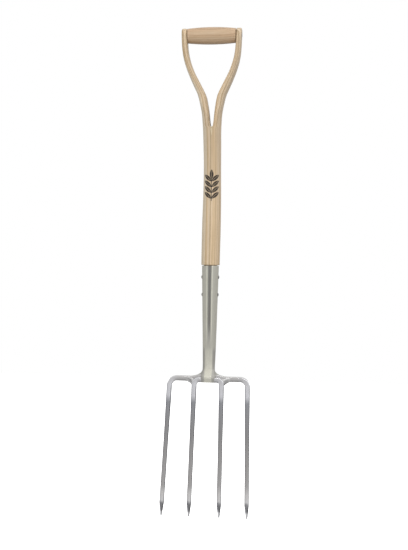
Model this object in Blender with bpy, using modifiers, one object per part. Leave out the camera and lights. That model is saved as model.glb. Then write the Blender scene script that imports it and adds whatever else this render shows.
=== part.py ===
"""Digging fork, 1.03 m long, with a split-ash D handle and a welded steel head.

One length of ash is split at its top into the two arms of the D, which hold a turned
grip on a steel rod. Its tapered lower end is riveted into a fluted steel socket. The
socket's foot stands astride two bent square bars, which are welded together and end
in the four tines.

Metres, +Z up. In the design's own frame heights are measured up from the tine points
and depths from the socket's axis, with the hollow front of the fork towards -Y. The
parent empty then puts the origin at the middle of the grip's underside, where the
fork hangs from a peg.
"""

import math

import bmesh
import bpy
from mathutils import Matrix, Vector

NAME = "digging_fork"
GAP = 0.0003  # clearance between touching pieces

# Grip
GRIP_HEIGHT = 1.0110
GRIP_LENGTH = 0.1008
GRIP_MID_RADIUS = 0.0179
GRIP_END_RADIUS = 0.01525
GRIP_EDGE = 0.0012
ROD_RADIUS = 0.0030
ROD_HEAD_RADIUS = 0.0043
ROD_HEAD_HEIGHT = 0.0008
WASHER_RADIUS = 0.0070
WASHER_THICKNESS = 0.0011
WASHER_SEAT = 0.0624  # distance of the washer's inner face from the middle plane

# Shaft: height, overall width and depth above the socket
SHAFT_SIZES = (
    (0.5255, 0.0398, 0.0398),
    (0.6150, 0.0406, 0.0402),
    (0.7330, 0.0378, 0.0382),
    (0.7840, 0.0386, 0.0380),
    (0.8130, 0.0392, 0.0376),
    (0.8310, 0.0408, 0.0372),
    (0.8510, 0.0438, 0.0366),
    (0.8700, 0.0505, 0.0360),
    (0.8900, 0.0610, 0.0352),
    (0.9075, 0.0770, 0.0344),
    (0.9250, 0.0930, 0.0336),
    (0.9440, 0.1083, 0.0328),
    (0.9620, 0.1190, 0.0322),
    (0.9820, 0.1250, 0.0316),
    (1.0110, 0.1280, 0.0310),
    (1.0300, 0.1288, 0.0310),
)
# Shaft: height and width of the opening between the arms
ARM_GAPS = (
    (0.8250, 0.0064),
    (0.8510, 0.0105),
    (0.8770, 0.0186),
    (0.8900, 0.0255),
    (0.9130, 0.0486),
    (0.9375, 0.0743),
    (0.9620, 0.0921),
    (0.9820, 0.0998),
    (1.0000, 0.1022),
    (1.0300, 0.1026),
)
# Shaft: height and depth of its centre line, which is cranked
SHAFT_BEND = (
    (0.3400, 0.0000),
    (0.5255, 0.0005),
    (0.6000, 0.0080),
    (0.6900, 0.0165),
    (0.7600, 0.0100),
    (0.8300, -0.0085),
    (0.9250, -0.0240),
    (0.9850, -0.0370),
    (1.0040, -0.0395),
    (1.0300, -0.0395),
)
SHAFT_END = 0.335
SHOULDER = 0.5255
SHOULDER_EDGE = 0.0008
CROTCH = 0.8215
CROTCH_RADIUS = 0.0032
ARM_POWER = 3.4
ARM_ROUNDED_BY = 0.875  # height at which the arms' sections are fully rounded
WEDGE_FOOT = 0.8015
WEDGE_TOP_WIDTH = 0.0054
WEDGE_FOOT_WIDTH = 0.0014

# Socket: height, half width, half depth, depth of centre, squareness, and the share of
# the half depth at which its front is flattened
SOCKET_SIZES = (
    (0.2741, 0.0166, 0.0147, -0.0147, 3.4, 1.00),
    (0.2850, 0.0163, 0.0147, -0.0143, 3.3, 1.00),
    (0.2930, 0.0142, 0.0143, -0.0100, 2.7, 0.94),
    (0.3020, 0.0132, 0.0134, -0.0055, 2.0, 0.86),
    (0.3280, 0.0138, 0.0138, -0.0015, 2.0, 0.86),
    (0.3600, 0.0146, 0.0146, 0.0000, 2.0, 1.00),
    (0.5240, 0.0183, 0.0183, 0.0000, 2.0, 1.00),
)
SOCKET_WALL = 0.0018
FLUTE_DEPTH = 0.0020
FLUTE_HALF_ANGLE = math.radians(17)
FLUTE_FADES_FROM = 0.405
FLUTE_ENDS_AT = 0.347
WOOD_FLUTE_HALF_ANGLE = math.radians(30)
WOOD_FLUTE_DEPTH = 0.0024
RIVET_HEIGHTS = {"upper": 0.4995, "lower": 0.4615}
RIVET_RADIUS = 0.0025
RIVET_HEAD_RADIUS = 0.0040
RIVET_HEAD_HEIGHT = 0.0019

# Tines and crossbars
OUTER_SPREAD = (0.0896, 0.0845)  # half spacing at the points and at the top
INNER_SPREAD = (0.0316, 0.0294)
TIP_DEPTH = -0.0755
OUTER_BAR_HEIGHT = 0.2797
OUTER_BAR_DEPTH = -0.0086
OUTER_BAR_BEND = 0.0160
OUTER_TINE_LEAN = 0.21
OUTER_BAR_STRAIGHT_TO = 0.0380
OUTER_BAR_RISE = 0.0050  # at the middle, inside the socket's foot
INNER_BAR_HEIGHT = 0.2787
INNER_BAR_DEPTH = -0.0207
INNER_BAR_BEND = 0.0100
INNER_TINE_LEAN = 0.17
# Height and half size of a tine's square section
TINE_SIZES = ((0.0, 0.0049), (0.150, 0.0049), (0.225, 0.0054), (0.268, 0.0057))
BAR_HALF = 0.0057
BAR_CORNER = 0.0020
POINT_LENGTH = 0.0270
POINT_HALF = 0.0019
POINT_DIAMOND_BY = 0.0100  # height below which the point is a plain diamond

# Welds
SHOULDER_WELD_REACH = 0.0375  # distance from the middle plane
SHOULDER_WELD_INNER = 0.0060
SHOULDER_WELD_TOP = 0.3000
SHOULDER_WELD_DEPTH = 0.0086
FILLET_REACH = 0.0140  # distance from the side of the inner tine
FILLET_HEIGHT = 0.0105
BEAD_LENGTH = 0.0180

RING_STEPS = 12  # steps round half of the shaft
INNER_STEPS = 8  # steps across the inside of an arm
TURNED_STEPS = 24

COLOURS = {
    "ash": ((0.56, 0.42, 0.27), 0.55, 0.0),
    "grip_ash": ((0.45, 0.31, 0.18), 0.5, 0.0),
    "tine_steel": ((0.30, 0.30, 0.31), 0.28, 1.0),
    "socket_steel": ((0.42, 0.41, 0.36), 0.36, 1.0),
    "rivet_steel": ((0.22, 0.22, 0.22), 0.4, 1.0),
    "weld_steel": ((0.42, 0.41, 0.38), 0.4, 1.0),
}


# ---------------------------------------------------------------- helpers


def smooth_step(value):
    value = min(max(value, 0.0), 1.0)
    return value * value * (3.0 - 2.0 * value)


def station(table, height, column=1):
    """A smooth curve through one column of a table of heights, level beyond its ends."""
    if height <= table[0][0]:
        return table[0][column]
    if height >= table[-1][0]:
        return table[-1][column]
    last = len(table) - 1
    low = max(i for i in range(last) if table[i][0] <= height)

    def slope(i):
        before, after = table[max(i - 1, 0)], table[min(i + 1, last)]
        return (after[column] - before[column]) / (after[0] - before[0])

    start, end = table[low], table[low + 1]
    span = end[0] - start[0]
    t = (height - start[0]) / span
    rise = (1 + 2 * t) * (1 - t) ** 2 * start[column] + t * t * (3 - 2 * t) * end[column]
    return rise + span * (t * (1 - t) ** 2 * slope(low) - t * t * (1 - t) * slope(low + 1))


def material(name):
    colour, roughness, metallic = COLOURS[name]
    found = bpy.data.materials.get(name)
    if found:
        return found
    made = bpy.data.materials.new(name)
    made.use_nodes = True
    shader = made.node_tree.nodes["Principled BSDF"]
    shader.inputs["Base Color"].default_value = (*colour, 1.0)
    shader.inputs["Roughness"].default_value = roughness
    shader.inputs["Metallic"].default_value = metallic
    return made


def add_part(name, mesh, material_name):
    part = bpy.data.objects.new(name, mesh)
    mesh.materials.append(material(material_name))
    mesh.shade_smooth()
    mesh.set_sharp_from_angle(angle=math.radians(35))
    parts.objects.link(part)
    part.parent = root
    return part


def add_cutter(name, mesh):
    cutter = bpy.data.objects.new(name, mesh)
    cutters.objects.link(cutter)
    cutter.parent = root
    cutter.hide_render = True
    cutter.display_type = "WIRE"
    return cutter


def boolean(part, other, operation="DIFFERENCE"):
    modifier = part.modifiers.new(f"{operation.lower()} {other.name}", "BOOLEAN")
    modifier.operation = operation
    modifier.solver = "EXACT"
    modifier.object = other


def mesh_from(name, points, faces):
    mesh = bpy.data.meshes.new(name)
    mesh.from_pydata(points, [], faces)
    work = bmesh.new()
    work.from_mesh(mesh)
    bmesh.ops.recalc_face_normals(work, faces=work.faces)
    work.to_mesh(mesh)
    work.free()
    return mesh


def between(first, second):
    """Quads between two closed loops of vertex numbers."""
    count = len(first)
    return [
        (first[i], first[(i + 1) % count], second[(i + 1) % count], second[i])
        for i in range(count)
    ]


def loft(name, rings, capped=True):
    """A skin over closed rings of equal length, with its ends capped or open."""
    points = [point for ring in rings for point in ring]
    loops = []
    for ring in rings:
        start = len(ring) * len(loops)
        loops.append(list(range(start, start + len(ring))))
    faces = [face for pair in zip(loops, loops[1:]) for face in between(*pair)]
    if capped:
        faces += [loops[0], loops[-1]]
    return mesh_from(name, points, faces)


def turned_mesh(name, profile, closed=False):
    """The outline of a turned piece as (radius, height), outer side top to bottom."""
    mesh = bpy.data.meshes.new(name)
    edges = [(i, i + 1) for i in range(len(profile) - 1)]
    if closed:
        edges.append((len(profile) - 1, 0))
    mesh.from_pydata([(radius, 0.0, height) for radius, height in profile], edges, [])
    return mesh


def turn(part):
    """Turns the outline about its own Z axis, and lays that axis along X."""
    screw = part.modifiers.new("turned", "SCREW")
    screw.steps = screw.render_steps = TURNED_STEPS
    screw.use_merge_vertices = True
    screw.merge_threshold = 0.00001
    screw.use_smooth_shade = True
    part.rotation_euler = (0.0, math.pi / 2, 0.0)
    return part


def rod_cutter(name, radius, length, centre):
    work = bmesh.new()
    bmesh.ops.create_cone(
        work, cap_ends=True, segments=24, radius1=radius, radius2=radius, depth=length
    )
    mesh = bpy.data.meshes.new(name)
    work.to_mesh(mesh)
    work.free()
    cutter = add_cutter(name, mesh)
    cutter.rotation_euler = (0.0, math.pi / 2, 0.0)
    cutter.location = centre
    return cutter


def box_cutter(name, low, high):
    work = bmesh.new()
    bmesh.ops.create_cube(work, size=1.0)
    size = Vector(high) - Vector(low)
    bmesh.ops.transform(work, matrix=Matrix.Diagonal((*size, 1.0)), verts=work.verts)
    mesh = bpy.data.meshes.new(name)
    work.to_mesh(mesh)
    work.free()
    cutter = add_cutter(name, mesh)
    cutter.location = (Vector(low) + Vector(high)) / 2
    return cutter


def outline_mesh(name, outline, thickness, placed):
    """A flat outline made solid about its own plane, then moved by the matrix placed."""
    curve = bpy.data.curves.new(name, "CURVE")
    curve.dimensions = "2D"
    curve.fill_mode = "BOTH"
    curve.extrude = thickness / 2
    spline = curve.splines.new("POLY")
    spline.points.add(len(outline) - 1)
    for point, (x, y) in zip(spline.points, outline):
        point.co = (x, y, 0.0, 1.0)
    spline.use_cyclic_u = True
    guide = bpy.data.objects.new(name, curve)
    bpy.context.scene.collection.objects.link(guide)
    graph = bpy.context.evaluated_depsgraph_get()
    mesh = bpy.data.meshes.new_from_object(guide.evaluated_get(graph))
    bpy.data.objects.remove(guide)
    mesh.transform(placed)
    work = bmesh.new()
    work.from_mesh(mesh)
    bmesh.ops.remove_doubles(work, verts=work.verts, dist=0.00001)
    bmesh.ops.recalc_face_normals(work, faces=work.faces)
    work.to_mesh(mesh)
    work.free()
    return mesh


# The plane of the head: outline x along X, outline y along Z, its thickness along Y
FACING_FRONT = Matrix.Rotation(math.pi / 2, 4, "X")
# The middle plane: outline x along Y, outline y along Z, its thickness along X
ALONG_X = Matrix(((0, 0, 1, 0), (1, 0, 0, 0), (0, 1, 0, 0), (0, 0, 0, 1)))


# ---------------------------------------------------------------- socket


def superellipse(angle, half_width, half_depth, power):
    """A point at an angle that is measured from the front and turns towards +X."""
    side, back = math.sin(angle), -math.cos(angle)
    return (
        half_width * math.copysign(abs(side) ** (2 / power), side),
        half_depth * math.copysign(abs(back) ** (2 / power), back),
    )


def flute(angle, height, half_angle, depth):
    across = abs(math.remainder(angle, 2 * math.pi)) / half_angle
    fade = smooth_step((height - FLUTE_ENDS_AT) / (FLUTE_FADES_FROM - FLUTE_ENDS_AT))
    return depth * fade * max(0.0, 1 - across * across)


def socket_point(angle, height, inset, flute_half_angle, flute_depth):
    half_width, half_depth, centre, power, flat = (
        station(SOCKET_SIZES, height, column) for column in (1, 2, 3, 4, 5)
    )
    x, y = superellipse(angle, half_width - inset, half_depth - inset, power)
    y = max(y, -flat * (half_depth - inset))
    y += centre + flute(angle, height, flute_half_angle, flute_depth)
    return (x, y, height)


def socket_angles():
    """Close together across the flute, with its two edges exactly on points."""
    front = [FLUTE_HALF_ANGLE * step for step in (-1.2, -1, -0.7, -0.35, 0, 0.35, 0.7, 1, 1.2)]
    first, last = front[-1], 2 * math.pi + front[0]
    around = 21
    return front + [first + (last - first) * i / around for i in range(1, around)]


def socket_heights():
    foot = [row[0] for row in SOCKET_SIZES[:-1]]
    foot = sorted(foot + [(low + high) / 2 for low, high in zip(foot, foot[1:4])])
    top = SOCKET_SIZES[-1][0]
    rise = (top - foot[-1]) / 7
    return foot + [foot[-1] + rise * i for i in range(1, 8)]


def socket_rings(inset):
    return [
        [
            socket_point(angle, height, inset, FLUTE_HALF_ANGLE, FLUTE_DEPTH)
            for angle in socket_angles()
        ]
        for height in socket_heights()
    ]


def add_socket(rivet_holes):
    socket = add_part("socket", loft("socket", socket_rings(0.0), capped=False), "socket_steel")
    shell = socket.modifiers.new("wall", "SOLIDIFY")
    shell.thickness = SOCKET_WALL
    shell.offset = -1.0
    shell.use_even_offset = True
    for hole in rivet_holes:
        boolean(socket, hole)
    clear = BAR_HALF + GAP
    front, between_bars = INNER_BAR_DEPTH - clear, INNER_BAR_DEPTH + clear
    inner_top = INNER_BAR_HEIGHT + clear
    outer_top = OUTER_BAR_HEIGHT + OUTER_BAR_RISE + clear
    reach, below = 0.03, 0.26  # past the foot on each side, and below it
    boolean(
        socket,
        box_cutter("front_slot", (-reach, front, below), (reach, between_bars, inner_top)),
    )
    boolean(
        socket,
        box_cutter(
            "back_slot",
            (-reach, between_bars - 0.001, below),
            (reach, OUTER_BAR_DEPTH + clear, outer_top),
        ),
    )


# ---------------------------------------------------------------- shaft


def shaft_ring(height):
    """The whole section: front, right side, back, left side."""
    centre = station(SHAFT_BEND, height)
    steps = 2 * RING_STEPS
    if height < SHOULDER:
        inset = SOCKET_WALL + 2 * GAP
        return [
            socket_point(
                math.pi * i / RING_STEPS, height, inset, WOOD_FLUTE_HALF_ANGLE, WOOD_FLUTE_DEPTH
            )
            for i in range(steps)
        ]
    eased = max(0.0, SHOULDER + SHOULDER_EDGE - height)
    half_width = station(SHAFT_SIZES, height, 1) / 2 - eased
    half_depth = station(SHAFT_SIZES, height, 2) / 2 - eased
    ring = [
        superellipse(math.pi * i / RING_STEPS, half_width, half_depth, 2.0) for i in range(steps)
    ]
    return [(x, y + centre, height) for x, y in ring]


def half_gap(height):
    """Half the opening between the arms, which ends below in a round crotch."""
    over = height - CROTCH
    if over < CROTCH_RADIUS:
        return math.sqrt(over * (2 * CROTCH_RADIUS - over))
    return max(CROTCH_RADIUS, station(ARM_GAPS, height) / 2)


def arm_loop(height, side):
    """One arm's section: its outer side from front to back, then its inner side."""
    centre = station(SHAFT_BEND, height)
    outer = station(SHAFT_SIZES, height, 1) / 2
    inner = half_gap(height)
    half_depth = station(SHAFT_SIZES, height, 2) / 2
    over = max(0.0, height - GRIP_HEIGHT) / half_depth
    half_depth *= math.sqrt(1 - over * over)
    ease = 0.0018 * over**6
    outer, inner = outer - ease, inner + ease
    middle, half = (outer + inner) / 2, (outer - inner) / 2
    rounded = smooth_step((height - CROTCH) / (ARM_ROUNDED_BY - CROTCH))
    loop = []
    for i in range(RING_STEPS + 1):
        angle = math.pi * i / RING_STEPS
        split_x, split_y = superellipse(angle, outer, half_depth, 2.0)
        x, y = superellipse(angle, half, half_depth, ARM_POWER)
        split_x = max(split_x, inner)
        loop.append((split_x + (middle + x - split_x) * rounded, split_y + (y - split_y) * rounded))
    for i in range(1, INNER_STEPS):
        angle = math.pi * (1 + i / INNER_STEPS)
        x, y = superellipse(angle, half, half_depth, ARM_POWER)
        split_y = half_depth * (1 - 2 * i / INNER_STEPS)
        loop.append((inner + (middle + x - inner) * rounded, split_y + (y - split_y) * rounded))
    return [(side * x, y + centre, height) for x, y in loop]


def shaft_heights():
    in_socket = [SHAFT_END, FLUTE_ENDS_AT + 0.012, 0.383, FLUTE_FADES_FROM, 0.465]
    shoulder = [SHOULDER - 0.0004, SHOULDER, SHOULDER + SHOULDER_EDGE]
    rise = (CROTCH - SHOULDER) / 14
    return in_socket + shoulder + [SHOULDER + rise * i for i in range(1, 15)]


def arm_heights():
    crotch = [CROTCH + CROTCH_RADIUS * share for share in (0.07, 0.3, 0.65, 1.1)]
    low = crotch[-1]
    climb = [low + (GRIP_HEIGHT - low) * i / 17 for i in range(1, 18)]
    end_radius = station(SHAFT_SIZES, GRIP_HEIGHT, 2) / 2
    top = [GRIP_HEIGHT + end_radius * math.sin(math.radians(turn)) for turn in (20, 38, 54, 68, 79)]
    return crotch + climb + top


def shaft_mesh(name):
    """A skin that is one ring up to the crotch and two loops above it."""
    rings = [shaft_ring(height) for height in shaft_heights()]
    points = [point for ring in rings for point in ring]
    steps = 2 * RING_STEPS
    loops = [list(range(start, start + steps)) for start in range(0, len(points), steps)]
    faces = [loops[0]] + [face for pair in zip(loops, loops[1:]) for face in between(*pair)]
    split = loops[-1]
    front, back = points[split[0]], points[split[RING_STEPS]]
    saddle = []
    for i in range(1, INNER_STEPS):
        saddle.append(len(points))
        points.append(Vector(back).lerp(Vector(front), i / INNER_STEPS)[:])
    right = split[: RING_STEPS + 1] + saddle
    left = [split[0]] + split[: RING_STEPS - 1 : -1] + saddle
    for side, loop in ((1, right), (-1, left)):
        for height in arm_heights():
            section = arm_loop(height, side)
            upper = list(range(len(points), len(points) + len(section)))
            points += section
            faces += between(loop, upper)
            loop = upper
        faces.append(loop)
    return mesh_from(name, points, faces)


def wedge_mesh(name, extra):
    """The V-shaped filler below the crotch, wider all round by extra."""
    top = CROTCH + 2 * CROTCH_RADIUS
    wide = WEDGE_TOP_WIDTH / 2 + extra
    narrow = WEDGE_FOOT_WIDTH / 2 + extra
    foot = WEDGE_FOOT - extra
    outline = [(-wide, top), (-wide, CROTCH), (-narrow, foot)]
    outline += [(-x, z) for x, z in reversed(outline)]
    return outline_mesh(name, outline, 0.08, FACING_FRONT)


def add_shaft(rivet_holes):
    blank = add_cutter("shaft_blank", shaft_mesh("shaft_blank"))
    shaft = add_part("shaft", shaft_mesh("shaft"), "ash")
    boolean(shaft, add_cutter("wedge_slot", wedge_mesh("wedge_slot", GAP)))
    wedge = add_part("crotch_wedge", wedge_mesh("crotch_wedge", 0.0), "ash")
    boolean(wedge, blank, "INTERSECT")
    for hole in rivet_holes:
        boolean(shaft, hole)
    grip_centre = (0.0, GRIP_DEPTH, GRIP_HEIGHT)
    boolean(shaft, rod_cutter("rod_hole", ROD_RADIUS + GAP, 0.16, grip_centre))
    depth = 0.01
    for side in (-1, 1):
        centre = (side * (WASHER_SEAT - GAP + depth / 2), GRIP_DEPTH, GRIP_HEIGHT)
        boolean(shaft, rod_cutter("washer_seat", WASHER_RADIUS + GAP, depth, centre))


# ---------------------------------------------------------------- grip


def add_grip():
    half = GRIP_LENGTH / 2
    bore = ROD_RADIUS + GAP
    crown = GRIP_MID_RADIUS - GRIP_END_RADIUS
    profile = [(bore, half), (GRIP_END_RADIUS - GRIP_EDGE, half)]
    for i in range(13):
        along = (half - GRIP_EDGE) * (1 - i / 6)
        profile.append((GRIP_END_RADIUS + crown * (1 - (along / half) ** 2), along))
    profile += [(GRIP_END_RADIUS - GRIP_EDGE, -half), (bore, -half)]
    grip = add_part("grip", turned_mesh("grip", profile, closed=True), "grip_ash")
    turn(grip).location = (0.0, GRIP_DEPTH, GRIP_HEIGHT)


def headed_pin(radius, head_radius, head_height, under_head, head_steps=5):
    """The profile of a pin with a domed head on each end, down its outer side."""
    dome = []
    for i in range(head_steps + 1):
        angle = math.pi / 2 * (1 - i / head_steps)
        dome.append(
            (head_radius * math.cos(angle), under_head + head_height * math.sin(angle))
        )
    dome[0] = (0.0, under_head + head_height)
    upper = dome + [(radius, under_head)]
    return upper + [(x, -z) for x, z in reversed(upper)]


def add_rod():
    under_head = WASHER_SEAT + WASHER_THICKNESS + GAP
    profile = headed_pin(ROD_RADIUS, ROD_HEAD_RADIUS, ROD_HEAD_HEIGHT, under_head)
    rod = add_part("grip_rod", turned_mesh("grip_rod", profile), "rivet_steel")
    turn(rod).location = (0.0, GRIP_DEPTH, GRIP_HEIGHT)
    bore = ROD_RADIUS + GAP
    edge = 0.0003
    washer = [
        (bore, WASHER_THICKNESS),
        (WASHER_RADIUS - edge, WASHER_THICKNESS),
        (WASHER_RADIUS, WASHER_THICKNESS - edge),
        (WASHER_RADIUS, 0.0),
        (bore, 0.0),
    ]
    for name, side in (("left", -1), ("right", 1)):
        mesh = turned_mesh(f"grip_washer_{name}", washer, closed=True)
        part = turn(add_part(f"grip_washer_{name}", mesh, "rivet_steel"))
        part.rotation_euler = (0.0, side * math.pi / 2, 0.0)
        part.location = (side * WASHER_SEAT, GRIP_DEPTH, GRIP_HEIGHT)


def add_rivets():
    holes = []
    for name, height in RIVET_HEIGHTS.items():
        under_head = station(SOCKET_SIZES, height, 1) + GAP
        profile = headed_pin(RIVET_RADIUS, RIVET_HEAD_RADIUS, RIVET_HEAD_HEIGHT, under_head)
        mesh = turned_mesh(f"socket_rivet_{name}", profile)
        turn(add_part(f"socket_rivet_{name}", mesh, "rivet_steel")).location = (0, 0, height)
        holes.append(rod_cutter(f"rivet_hole_{name}", RIVET_RADIUS + GAP, 0.06, (0, 0, height)))
    return holes


# ---------------------------------------------------------------- head


def bar_ring(half, corner, roundness):
    """A square section; its corners go from plain chamfers to arcs with roundness."""
    ring = []
    for quarter in range(4):
        turned = Matrix.Rotation(quarter * math.pi / 2, 2)
        for i in range(4):
            share = i / 3
            arc = Vector((math.cos(share * math.pi / 2), math.sin(share * math.pi / 2)))
            chord = Vector((1 - share, share))
            local = Vector((half - corner, half - corner)) + corner * chord.lerp(arc, roundness)
            ring.append(turned @ local)
    return ring


def swept(path, sections):
    """Rings along a path, each with its sides square to the front."""
    rings = []
    for i, (centre, section) in enumerate(zip(path, sections)):
        along = (path[min(i + 1, len(path) - 1)] - path[max(i - 1, 0)]).normalized()
        deep = Vector((0, 1, 0)) - along.y * along
        deep.normalize()
        wide = deep.cross(along)
        rings.append([(centre + wide * p.x + deep * p.y)[:] for p in section])
    return rings


def tine_depth(height, bar_height, bar_depth, lean):
    """Leans forward from the bar at first, and curves on to the depth of the point."""
    down = bar_height - height
    curve = (bar_depth - TIP_DEPTH - lean * bar_height) / bar_height**2
    return bar_depth - lean * down - curve * down * down


def tine_half(height):
    """Half the width of a tine, which narrows towards its point."""
    to_point = min(max((POINT_LENGTH - height) / POINT_LENGTH, 0.0), 1.0)
    half = station(TINE_SIZES, height)
    return half + (POINT_HALF - half) * to_point**1.15


def tine_centre(x, height, bar_height, bar_depth, lean):
    """The middle of a tine's section; the point is ground away only from the front."""
    ground_back = station(TINE_SIZES, height) - tine_half(height)
    return Vector((x, tine_depth(height, bar_height, bar_depth, lean) + ground_back, height))


def tine_section(height, grow):
    """A square bar that ends in a blunt diamond point."""
    half = tine_half(height)
    diamond = smooth_step((POINT_LENGTH - height) / (POINT_LENGTH - POINT_DIAMOND_BY))
    corner = BAR_CORNER + (0.96 * half - BAR_CORNER) * diamond
    return bar_ring(half + grow, corner, 1 - 0.85 * diamond)


def half_bar(spread, bar_height, bar_depth, bend, lean, across, grow):
    """Path and sections from one point up the tine and along the bar to the middle."""
    point_heights = [POINT_LENGTH * share for share in (0.0, 0.03, 0.15, 0.35, 0.55, 0.78, 1.0)]
    bend_height = bar_height - bend
    climb = bend_height - POINT_LENGTH
    heights = point_heights + [POINT_LENGTH + climb * i / 9 for i in range(1, 10)]
    path, sections = [], []
    for height in heights:
        x = spread[0] + (spread[1] - spread[0]) * height / bend_height
        path.append(tine_centre(x, height, bar_height, bar_depth, lean))
        blunt = 0.8 if height == 0.0 else 1.0
        sections.append([point * blunt for point in tine_section(height, grow)])
    for i in range(1, 7):
        angle = math.pi / 2 * i / 6
        height = bend_height + bend * math.sin(angle)
        x = spread[1] - bend * (1 - math.cos(angle))
        path.append(Vector((x, tine_depth(height, bar_height, bar_depth, lean), height)))
        sections.append(bar_ring(BAR_HALF + grow, BAR_CORNER, 1.0))
    for x, rise in across:
        path.append(Vector((x, bar_depth, bar_height + rise)))
        sections.append(bar_ring(BAR_HALF + grow, BAR_CORNER, 1.0))
    return path, sections


def whole_bar(name, grow, *shape):
    """A bar from one point to the other; its two halves share their middle section."""
    path, sections = half_bar(*shape, grow)
    other = [Vector((-point.x, point.y, point.z)) for point in reversed(path[:-1])]
    return loft(name, swept(path + other, sections + sections[-2::-1]))


def outer_bar_mesh(name, grow=0.0):
    across = [
        (OUTER_BAR_STRAIGHT_TO * (1 - i / 6), OUTER_BAR_RISE * smooth_step(i / 4))
        for i in range(7)
    ]
    return whole_bar(
        name,
        grow,
        OUTER_SPREAD,
        OUTER_BAR_HEIGHT,
        OUTER_BAR_DEPTH,
        OUTER_BAR_BEND,
        OUTER_TINE_LEAN,
        across,
    )


def inner_bar_mesh(name, grow=0.0):
    return whole_bar(
        name,
        grow,
        INNER_SPREAD,
        INNER_BAR_HEIGHT,
        INNER_BAR_DEPTH,
        INNER_BAR_BEND,
        INNER_TINE_LEAN,
        [(0.0, 0.0)],
    )


def concave(start, corner, end, steps=6):
    """A hollow curve from start to end, drawn towards the corner."""
    points = []
    for i in range(steps + 1):
        t = i / steps
        points.append(
            tuple(
                (1 - t) ** 2 * a + 2 * t * (1 - t) * b + t * t * c
                for a, b, c in zip(start, corner, end)
            )
        )
    return points


def weld_part(name, outline, thickness, placed, blanks):
    """A flat piece of weld metal, cut clear of the pieces that it lies on."""
    part = add_part(name, outline_mesh(name, outline, thickness, placed), "weld_steel")
    for blank in blanks:
        boolean(part, blank)


def shoulder_outline():
    """Hollow above, from far out on the outer bar to high on the socket."""
    bar_top = OUTER_BAR_HEIGHT + BAR_HALF
    outline = concave(
        (SHOULDER_WELD_REACH, bar_top + 2 * GAP),
        (0.0160, bar_top + 0.0025),
        (0.0130, SHOULDER_WELD_TOP),
    )
    foot = bar_top - 0.002
    return outline + [
        (SHOULDER_WELD_INNER, SHOULDER_WELD_TOP),
        (SHOULDER_WELD_INNER, foot),
        (SHOULDER_WELD_REACH, foot),
    ]


def fillet_outline():
    """Hollow in front, from the outer bar's front to the side of an inner tine."""
    bar_front = OUTER_BAR_DEPTH - BAR_HALF
    side = INNER_SPREAD[1] + BAR_HALF
    end = INNER_BAR_DEPTH - BAR_HALF + 0.0035
    sunk = 0.004  # how far the outline runs into each bar before it is cut clear of it
    outline = concave(
        (side + FILLET_REACH, bar_front), (side + 0.003, bar_front - 0.001), (side, end), steps=5
    )
    return outline + [
        (side - sunk, end),
        (side - sunk, bar_front + sunk / 2),
        (side + FILLET_REACH, bar_front + sunk / 2),
    ]


def bead_outline():
    """Hollow below, in the corner behind the inner bar and under the outer one."""
    back = INNER_BAR_DEPTH + BAR_HALF + GAP
    top = OUTER_BAR_HEIGHT + OUTER_BAR_RISE - BAR_HALF - GAP
    outline = concave(
        (back, top - 0.0058), (back + 0.0015, top - 0.0015), (back + 0.0068, top), steps=5
    )
    return outline + [(back, top)]


def add_welds(blanks):
    """Shoulders on the bar, fillets beside the inner tines, and a bead underneath."""
    on_bar = Matrix.Translation((0, OUTER_BAR_DEPTH, 0)) @ FACING_FRONT
    level = Matrix.Translation((0, 0, INNER_BAR_HEIGHT + 0.001))
    for name, side in (("left", -1), ("right", 1)):
        shoulder = [(side * x, z) for x, z in shoulder_outline()]
        weld_part(f"weld_shoulder_{name}", shoulder, SHOULDER_WELD_DEPTH, on_bar, blanks)
        fillet = [(side * x, y) for x, y in fillet_outline()]
        weld_part(f"weld_inner_{name}", fillet, FILLET_HEIGHT, level, blanks[1:])
    weld_part("weld_underside", bead_outline(), BEAD_LENGTH, ALONG_X, [])


def add_head():
    add_part("outer_tine_bar", outer_bar_mesh("outer_tine_bar"), "tine_steel")
    add_part("inner_tine_bar", inner_bar_mesh("inner_tine_bar"), "tine_steel")
    blanks = [
        add_cutter("socket_blank", loft("socket_blank", socket_rings(-GAP))),
        add_cutter("outer_bar_blank", outer_bar_mesh("outer_bar_blank", GAP)),
        add_cutter("inner_bar_blank", inner_bar_mesh("inner_bar_blank", GAP)),
    ]
    add_welds(blanks)


for old in list(bpy.data.objects):
    bpy.data.objects.remove(old)
GRIP_DEPTH = station(SHAFT_BEND, GRIP_HEIGHT)
parts = bpy.data.collections.new(NAME)
cutters = bpy.data.collections.new("cutters")
for group in (parts, cutters):
    bpy.context.scene.collection.children.link(group)
root = bpy.data.objects.new("hang_point", None)
root.location = (0.0, -GRIP_DEPTH, -(GRIP_HEIGHT - GRIP_MID_RADIUS))
parts.objects.link(root)
all_rivet_holes = add_rivets()
add_socket(all_rivet_holes)
add_shaft(all_rivet_holes)
add_grip()
add_rod()
add_head()
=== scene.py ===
"""Looks of the digging fork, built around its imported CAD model.

Every CAD node is replaced by a finer piece in the same place and of the same overall
size, with procedural materials: lacquered ash for the handle, ground steel for the head.

Metres, +Z up. Shapes are worked out in the design's own frame, where heights are
measured up from the tine points and depths from the socket's axis, and then moved into
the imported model's frame.
"""

import math

import bmesh
import bpy
from mathutils import Matrix, Quaternion, Vector


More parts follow.
